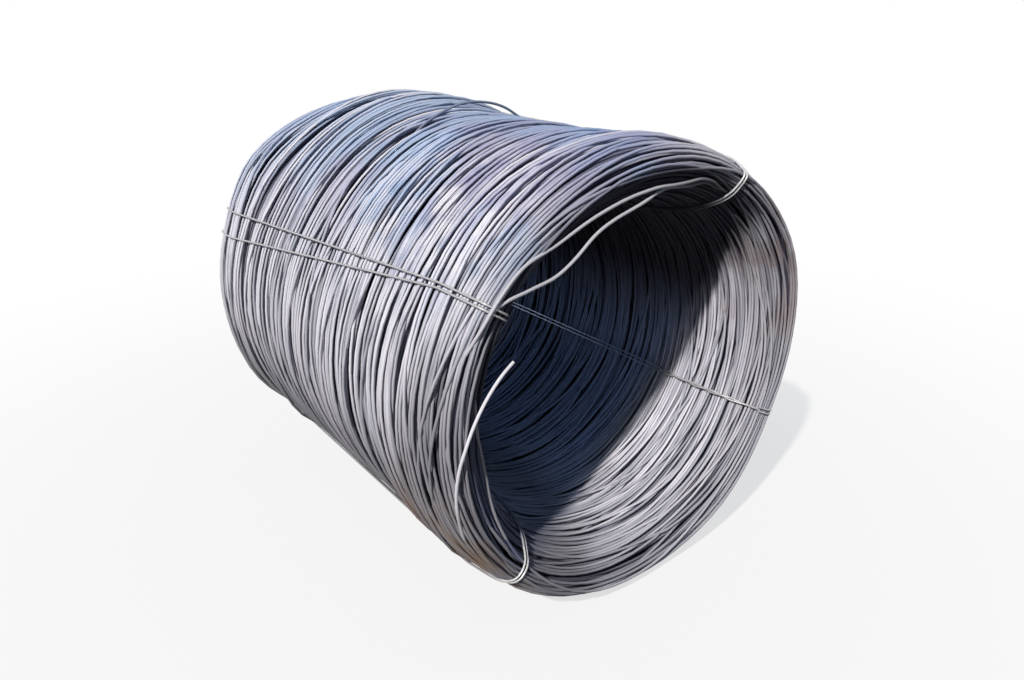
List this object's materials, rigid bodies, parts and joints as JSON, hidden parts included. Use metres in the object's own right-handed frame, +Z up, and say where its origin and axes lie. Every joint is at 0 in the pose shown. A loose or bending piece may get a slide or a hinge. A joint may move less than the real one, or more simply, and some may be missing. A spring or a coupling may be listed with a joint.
{
  "type": "coil of wire rod",
  "caption": "Cylindrical coil of plain steel wire rod lying on its side, wound round an open bore, with flared mouths, slack turns, a free end and four double ties.",
  "frame": {"origin": "on the floor under the middle of the coil", "axes": "+Y along the coil's axis, away from the mouth that the picture shows, +Z up"},
  "size_m": [1.2498, 1.5428, 1.2498],
  "materials": {
    "rod_steel": "hot-rolled wire rod, blue-grey mill scale with bright streaks",
    "tie_steel": "drawn soft tie wire, dull grey"
  },
  "bodies": {
    "root": {"wire_coil": "rod_steel", "tie_upper_left": "tie_steel", "tie_upper_right": "tie_steel", "tie_lower_right": "tie_steel", "tie_lower_left": "tie_steel"}
  },
  "joints": []
}
